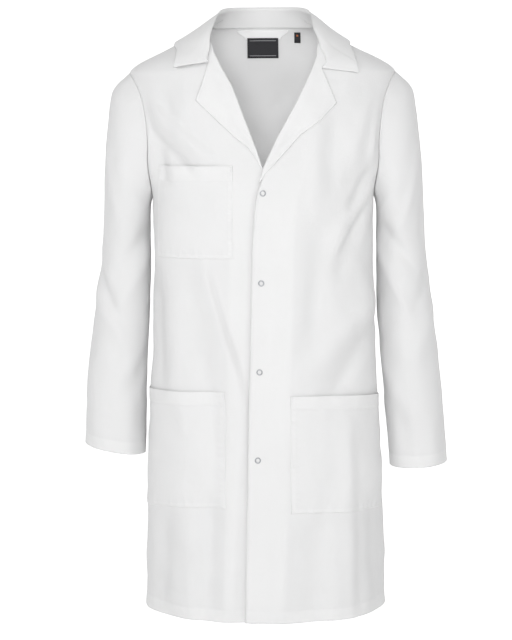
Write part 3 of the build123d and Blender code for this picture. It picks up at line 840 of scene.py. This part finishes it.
# --- pockets -----------------------------------------------------------------------------
def pocket_lift(u_mm, u_end, v_mm, v_end, p, gape):
    """Height of a patch pocket over the front: sewn down at its sides and bottom, with a
    rounded edge, puffed in the middle, and open by gape along the mouth."""
    sides = np.minimum(u_mm, u_end - u_mm)
    below = v_end - v_mm
    sewn = np.minimum(sides, below)
    rounded = round_edge(sewn, 1.5)
    slack = step_up(sides, 2, 30) * step_up(below, 2, 34)
    mouth = gape * np.sin(np.pi * np.clip(u_mm / u_end, 0, 1)) ** 1.4 * bell(v_mm, 34)
    soft = 0.9 * noise(p, (42, 42, 60), 16) + 0.5 * noise(p, (20, 20, 24), 17)
    pucker = 0.35 * np.sin(u_mm / 2.3 + 2 * noise(p, 24, 18)) * bell(below - 7, 8)
    pucker = pucker + 0.3 * np.sin(v_mm / 2.1 + 2 * noise(p, 24, 19)) * bell(sides - 6, 7)
    return 0.15 + 1.0 * rounded + slack * (1.2 + soft) + mouth + pucker * rounded


def close_at_ends(count):
    """Shares from 0 to 1 that lie close together at both ends."""
    near, far = 0.012, 0.988
    return np.concatenate([np.linspace(0, near, 5)[:-1], np.linspace(near, far, count),
                           np.linspace(far, 1, 6)[1:]])


def make_pocket(side, name, node, pocket, gape):
    """A patch pocket with the folded band along its mouth as a second layer behind it. It
    gives the lines of its stitches."""
    inner, outer, top, bottom, band, drop_top, drop_bottom = pocket
    body = f"{NAME[side]}_front"
    long = top - bottom
    u, v = close_at_ends(84)[None, :], close_at_ends(92)[:, None]
    z = top + (bottom - top) * v
    at_side = outer > 200
    turn_in = turn_at(inner, z)
    turn_out = -0.006 if at_side else turn_at(outer, z)
    theta = turn_in + (turn_out - turn_in) * u
    z = z + 0 * theta
    depth = ring(theta, z, BODY, SINK[side])[..., 1]
    round_side = (depth - depth[:, :1]) / (depth[:, -1:] - depth[:, :1])
    z = z - (drop_top + (drop_bottom - drop_top) * v) * round_side
    plain, _ = raised(theta, z, 0.0, side)
    wide = np.linalg.norm(np.diff(plain[len(v) // 2], axis=0), axis=1).sum()
    lift = pocket_lift(u * wide + 0 * v, wide, v * long + 0 * u, long, plain, gape)
    if at_side:
        lift = lift * (1 - 0.7 * step_up(u * wide, wide - 70, wide - 8))
    band_at = v * long - band
    lift = lift + 0.5 * step_up(-band_at, -0.8, 0.8) - 0.35 * bell(band_at, 1.6)
    points, normals = raised(theta, z, lift, side)
    turned_in = np.minimum(np.minimum(u * wide, (1 - u) * wide), (1 - v) * long)
    # Painted light: the band and the turned-in edges are drawn brightest, the rest of the pocket a little
    # less than halfway.
    doubled_painted_light = np.maximum(step_up(-band_at, -1, 1), 0.45 + 0.55 * step_up(-turned_in, -9, -7))
    sew(f"{name}_cloth", points, normals, [node], body, doubled_painted_light, 0.8, (wide * MM, long * MM, None))
    rows = int(np.searchsorted((v * long).ravel(), band))
    inset = (slice(1, rows), slice(3, -3))
    points, normals = (grid[inset] for grid in raised(theta, z, lift - 1.0, side))
    sew(f"{name}_band_fold", points, normals, [f"{node}_band"], body, thickness=0.5)
    return pocket_stitches(side, theta, z, lift, u, v, wide, long, band)


# --- stitching ---------------------------------------------------------------------------
STITCH_LENGTH, STITCH_GAP, STITCH_WIDTH, STITCH_HEIGHT = 2.7, 0.7, 0.62, 0.42
ON_CLOTH = 0.12             # height of a line of stitches over plain cloth


def stitch_line(path, normals):
    """Stitches along a path: each a small rounded bar, six points round and three along,
    laid on the cloth with its ends sunk."""
    steps = np.linalg.norm(np.diff(path, axis=0), axis=1)
    at = np.concatenate([[0], steps.cumsum()])
    starts = np.arange(0.5, at[-1] - STITCH_LENGTH, STITCH_LENGTH + STITCH_GAP)

    def along(distance, values=path):
        return np.stack([np.interp(distance, at, values[:, k]) for k in range(3)], -1)

    stations = starts[:, None] + STITCH_LENGTH * np.array([0.0, 0.5, 1.0])[None, :]
    centre, up = along(stations), along(stations, normals)
    up = up / np.linalg.norm(up, axis=-1, keepdims=True)
    ahead = along(stations + 0.2) - along(stations - 0.2)
    ahead /= np.maximum(np.linalg.norm(ahead, axis=-1, keepdims=True), 1e-9)
    sideways = np.cross(up, ahead)
    size = np.array([0.45, 1.0, 0.45])[None, :, None, None]
    angle = np.arange(6) * np.pi / 3
    round_up = up[:, :, None] * np.sin(angle)[None, None, :, None] * STITCH_HEIGHT / 2
    round_side = sideways[:, :, None] * np.cos(angle)[None, None, :, None] * STITCH_WIDTH / 2
    sunk = up[:, :, None] * np.array([-0.18, 0.08, -0.18])[None, :, None, None]
    return (centre[:, :, None] + sunk + size * (round_up + round_side)).reshape(-1, 18, 3)


def make_stitches(name, lines, body):
    """One piece of all the stitches in the given lines, each with closed ends."""
    bars = np.concatenate([stitch_line(*line) for line in lines])
    k, beside = np.arange(6), (np.arange(6) + 1) % 6
    span = np.stack([k, beside, beside + 6, k + 6], -1)
    caps = [[3, 2, 1, 0], [5, 4, 3, 0], [12, 13, 14, 15], [12, 15, 16, 17]]
    bar_faces = np.concatenate([span, span + 6, caps])
    faces = (bar_faces[None] + 18 * np.arange(len(bars))[:, None, None]).reshape(-1, 4)
    mesh = bpy.data.meshes.new(name)
    mesh.from_pydata((bars.reshape(-1, 3) * MM).tolist(), [], faces.tolist())
    mesh.polygons.foreach_set("use_smooth", np.ones(len(faces), bool))
    piece = bpy.data.objects.new(name, mesh)
    bpy.context.scene.collection.objects.link(piece)
    first = bars[0]
    face = first[span[0] + 6]
    look = np.cross(face[1] - face[0], face[2] - face[0])
    if np.dot(look, face.mean(0) - first[6:12].mean(0)) < 0:
        mesh.flip_normals()
    dress(piece, thread, "coat_cloth")
    follow(piece, body)


def pocket_stitches(side, theta, z, lift, u, v, wide, long, band):
    """Two rows round the sides and bottom of a pocket, one under its band, and a bar tack at
    each end of the mouth."""
    def line(u_mm, v_mm):
        col = np.interp(u_mm / wide, u.ravel(), np.arange(u.size))
        row = np.interp(v_mm / long, v.ravel(), np.arange(v.size))
        c0, r0 = np.minimum(col.astype(int), u.size - 2), np.minimum(row.astype(int), v.size - 2)
        fc, fr = col - c0, row - r0

        def mix(grid):
            low = grid[r0, c0] * (1 - fc) + grid[r0, c0 + 1] * fc
            high = grid[r0 + 1, c0] * (1 - fc) + grid[r0 + 1, c0 + 1] * fc
            return low * (1 - fr) + high * fr
        return raised(mix(theta), mix(z), mix(lift) + 0.08, side)

    lines = []
    for inset in (2.2, 8.2):
        down, over = np.linspace(1.0, long - inset, 120), np.linspace(inset, wide - inset, 120)
        lines.append(line(np.full(120, inset), down))
        lines.append(line(over, np.full(120, long - inset)))
        lines.append(line(np.full(120, wide - inset), down[::-1]))
    lines.append(line(np.linspace(2.0, wide - 2.0, 120), np.full(120, band)))
    for end in (3.0, wide - 3.0):
        for row in range(4):
            lines.append(line(np.full(30, end - 0.8 + 0.5 * row), np.linspace(1.0, 14.0, 30)))
    return lines


def front_stitches(side):
    """Topstitching of a front: along its edge from the break down, and over the hem."""
    z = np.linspace(BREAK_Z - 20, HEM_Z + 3, 300)
    down_edge = front_point(inner_edge(z, side) + 5.0, z, 0.6, side)
    hem_top = HEM_Z + HEM_HEIGHT
    start = turn_at(inner_edge(hem_top, side) + 3, hem_top)
    over_hem = raised(np.linspace(start, -0.01, 160), np.full(160, hem_top), ON_CLOTH, side)
    return [down_edge, over_hem]


def lapel_stitches(side):
    """Topstitching inside a lapel's edge, from the notch down."""
    points = np.array(LAPEL_EDGE[side][3:-2], float)
    inward = points.mean(0) + (-30, 40) - points
    inset = points + 5.5 * inward / np.linalg.norm(inward, axis=1, keepdims=True)
    t = np.linspace(0, len(inset) - 1, 200)
    x, z = (np.interp(t, np.arange(len(inset)), inset[:, k]) for k in (0, 1))
    return [front_point(x, z, lapel_lift(x, z, side) + 0.1, side)]


def body_stitches():
    """Topstitching of the parts that stay still: the back hem and the collar's edge."""
    back_hem = raised(np.linspace(0.01, np.pi - 0.01, 320), np.full(320, HEM_Z + HEM_HEIGHT), ON_CLOTH)
    turn, top, low = (a.ravel()[3:-3] for a in collar_outline())
    height = top - low
    v = np.clip(1 - 5.5 / np.maximum(height, 6.0), 0, 1)
    points, normals = collar_point(turn, top - height * v, collar_lift(turn, v, height) + 0.1)
    return [back_hem, (narrowed(points), normals)]


def sleeve_stitches(side):
    """Topstitching over the cuff's hem and beside the armhole seam."""
    turn = np.linspace(0, 2 * np.pi, 160)
    places = (SLEEVE_LONG[side] - HEM_HEIGHT, 5.0)
    return [sleeve_point(turn, np.full(160, t), ON_CLOTH, side) for t in places]


# --- press studs -------------------------------------------------------------------------
def turned_piece(name, profile, centre, axis, material, slot):
    """A piece turned on a lathe: a closed profile of (radius, height) carried round the axis
    at the centre, with its seam closed and its faces outwards."""
    axis = axis / np.linalg.norm(axis)
    right = np.cross(axis, (0, 0, 1.0))
    right /= np.linalg.norm(right)
    up = np.cross(axis, right)
    angle = np.linspace(0, 2 * np.pi, 40, endpoint=False)[None, :, None]
    radius, height = np.array(profile, float).T[:, :, None, None]
    points = centre + radius * (np.cos(angle) * right + np.sin(angle) * up) + height * axis
    piece = sheet_mesh(name, np.concatenate([points, points[:1]], 0), 1.0, closed=True)
    work = bmesh.new()
    work.from_mesh(piece.data)
    bmesh.ops.remove_doubles(work, verts=work.verts, dist=1e-6)
    bmesh.ops.recalc_face_normals(work, faces=work.faces)
    work.to_mesh(piece.data)
    work.free()
    return dress(piece, material, slot)


def half_round(inner, outer, high):
    """Closed profile of a ring that is flat below and round above."""
    mid, half = (inner + outer) / 2, (outer - inner) / 2
    a = np.linspace(0, np.pi, 10)
    top = np.stack([mid + half * np.cos(a), 0.2 + (high - 0.2) * np.sin(a)], -1)
    return np.concatenate([[(outer, 0.0)], top, [(inner, 0.0)]])


CAP_RING = half_round(3.3, 5.4, 1.2)
SOCKET = [(0.05, 0.0), (4.6, 0.0), (4.9, 0.3), (4.9, 1.0), (4.4, 1.3), (3.1, 1.5),
          (3.0, 1.9), (2.3, 1.9), (2.2, 0.5), (0.05, 0.5)]
STUD = [(0.05, 0.0), (4.8, 0.0), (4.9, 0.3), (4.5, 0.6), (2.0, 0.8), (1.6, 1.2), (1.9, 1.7),
        (1.6, 2.1), (0.05, 2.2)]


def make_snaps():
    """Each press stud: an open ring over the left front, its socket behind, and on the right
    front a stud with an open ring behind."""
    parts = (("cap", CAP_RING, 0.65, 1, ring_metal, "snap_ring", LEFT),
             ("socket", SOCKET, -2 * CLOTH - 0.3, -1, plated_metal, "snap_metal", LEFT),
             ("stud", STUD, 0.45, 1, plated_metal, "snap_metal", RIGHT),
             ("ring", CAP_RING, -2 * CLOTH - 0.25, -1, ring_metal, "snap_ring", RIGHT))
    for k in range(SNAP_COUNT):
        z = np.array(SNAP_TOP_Z - k * SNAP_PITCH)
        for part, profile, lift, outward, material, slot, side in parts:
            centre, out = front_point(side * stud_line(z), z, lift, side)
            name = f"snap_{k + 1}_{part}"
            piece = turned_piece(f"{name}_metal", profile, centre, outward * out, material, slot)
            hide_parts(name)
            follow(piece, f"{NAME[side]}_front")


# --- labels ------------------------------------------------------------------------------
def make_label(name, x, z, lift, material, slot, node=None):
    """A small sheet on the inside of the back, over a grid of distances x and heights z."""
    points, normals = raised(np.pi + turn_at(-x, z), z, lift)
    piece = sheet_mesh(name, points, 1.0)
    thicken(faces_outward(piece, points, normals), 0.5, 1.0)
    dress(piece, material, slot)
    if node:
        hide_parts(node)
        lies_flat(points)
    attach(piece, "coat_body")


def label_grid(x0, x1, z_top, z_low, rows=14, cols=30):
    """Distances and heights over a rectangle."""
    u, v = np.linspace(0, 1, cols)[None, :], np.linspace(0, 1, rows)[:, None]
    return x0 + (x1 - x0) * u + 0 * v, z_top + (z_low - z_top) * v + 0 * u


def make_labels():
    """The cloth patch under the neck seam, the woven label with a plain border, and the small
    size label with its coloured dot."""
    u, v = label_grid(-1, 1, 0, 1, 16, 50)
    half = 46 - 14 * step_up(v, 0.1, 0.9)
    make_label("label_patch_cloth", half * u, -9 - 17 * v, -CLOTH - 0.9 + 0.2 * v,
               lit_patch_cloth, "coat_cloth", "label_patch")
    labels = (("neck_label_tape", (-28, 28, -23, -59), 1.9, black_tape, "neck_label"),
              ("neck_label_stripe_1", (-24, 24, -27, -28, 3, 24), 2.45, pale_tape, None),
              ("neck_label_stripe_2", (-24, 24, -54, -55, 3, 24), 2.45, pale_tape, None),
              ("size_label_tape", (57, 68, -13, -32, 10, 8), 1.3, black_tape, "size_label"),
              ("size_label_dot", (61, 64, -17, -20, 4, 4), 1.85, orange_tape, None))
    for name, grid, behind, material, node in labels:
        make_label(name, *label_grid(*grid), -CLOTH - behind, material, "label_tape", node)


# --- the camera, the floor and the light -------------------------------------------------
FLOOR_GLOW = 0.55
WORLD_LIGHT = 0.55


def make_camera():
    """Level with the neck, a little to the wearer's left, looking down at the middle."""
    camera = bpy.data.objects.new("camera", bpy.data.cameras.new("camera"))
    bpy.context.scene.collection.objects.link(camera)
    turn, tilt, roll = np.radians(1.045), np.radians(9.46), np.radians(0.416)
    camera.location = (0.049, -3.25, 0.02)
    camera.rotation_euler = (np.pi / 2 - tilt, roll, turn)
    camera.data.lens = 103.5
    camera.data.sensor_width = 36.0
    camera.data.clip_end = 50.0
    bpy.context.scene.camera = camera


def make_floor():
    """A wide pale floor that turns up into a wall far behind, in one smooth sweep. It glows
    more towards the wall."""
    drop, near, deep, radius, wall_top = -1.45, -7.0, 6.0, 2.0, 7.0
    bend = np.linspace(0, QUARTER, 40)[1:]
    y = np.concatenate([np.linspace(near, deep, 20), deep + radius * np.sin(bend),
                        np.full(8, deep + radius)])
    z = np.concatenate([np.full(20, drop), drop + radius * (1 - np.cos(bend)),
                        np.linspace(drop + radius + 0.5, wall_top, 8)])
    x = np.linspace(-9, 9, 30)[None, :]
    grid = np.stack(np.broadcast_arrays(x, y[:, None], z[:, None]), -1) / MM
    floor = sheet_mesh("floor", grid)
    material, shader, add, link = node_maker("pale_floor")
    set_values(shader, {"Base Color": (0.9, 0.9, 0.9, 1), "Roughness": 0.9, "Specular IOR Level": 0.0,
                        "Emission Color": (1, 1, 1, 1)})
    split = add("SeparateXYZ")
    glow = add("MapRange", {"From Min": 0.0, "From Max": 0.8, "To Max": FLOOR_GLOW})
    link(add("TexCoord").outputs["Object"], split.inputs[0])
    link(split.outputs["Y"], glow.inputs["Value"])
    link(glow.outputs[0], shader.inputs["Emission Strength"])
    floor.data.materials.append(material)


def soft_light(name, place, target, size, power):
    """A square area light, turned from its place to its target."""
    light = bpy.data.objects.new(name, bpy.data.lights.new(name, "AREA"))
    bpy.context.scene.collection.objects.link(light)
    light.data.size = size
    light.data.energy = power
    light.location = place
    light.rotation_euler = (Vector(target) - Vector(place)).to_track_quat("-Z", "Y").to_euler()
    return light


def make_light():
    """An even white sky, a broad light near the camera, one on each side, and a weak one inside
    the coat for what comes through the back's thin cloth."""
    world = bpy.data.worlds.new("studio")
    bpy.context.scene.world = world
    world.use_nodes = True
    sky = world.node_tree.nodes["Background"]
    set_values(sky, {"Color": (1, 1, 1, 1), "Strength": WORLD_LIGHT})
    middle = (0, 0, -0.4)
    soft_light("key", (-0.15, -3.6, 0.25), middle, 1.0, 49.0)
    soft_light("upper_left", (-2.4, -2.4, 1.7), middle, 1.0, 16.0)
    soft_light("upper_right", (2.6, -2.2, 1.5), middle, 1.0, 11.0)
    through_the_cloth = soft_light("through_the_cloth", (0, 0, -0.18), (0, 1, -0.18), 0.3, 0.11)
    through_the_cloth.visible_camera = False
    bpy.context.scene.view_settings.view_transform = "Standard"
    bpy.context.scene.view_settings.look = "None"


make_camera()
make_floor()
make_light()
make_back()
make_collar()
make_labels()
make_snaps()
for side in (LEFT, RIGHT):
    make_front(side)
    make_lapel(side)
    make_sleeve(side)
    name = NAME[side]
    pocket = f"{name}_pocket"
    rows = front_stitches(side) + lapel_stitches(side)
    rows += make_pocket(side, f"{pocket}_patch", pocket, LOWER_POCKET[side], POCKET_GAPE[side])
    if side == RIGHT:
        rows += make_pocket(side, "chest_patch", "chest_pocket", CHEST_POCKET, CHEST_GAPE)
    make_stitches(f"{name}_front_stitches", rows, f"{name}_front")
    make_stitches(f"{name}_sleeve_stitches", sleeve_stitches(side), f"{name}_sleeve_tube")
make_stitches("body_stitches", body_stitches(), "coat_body")
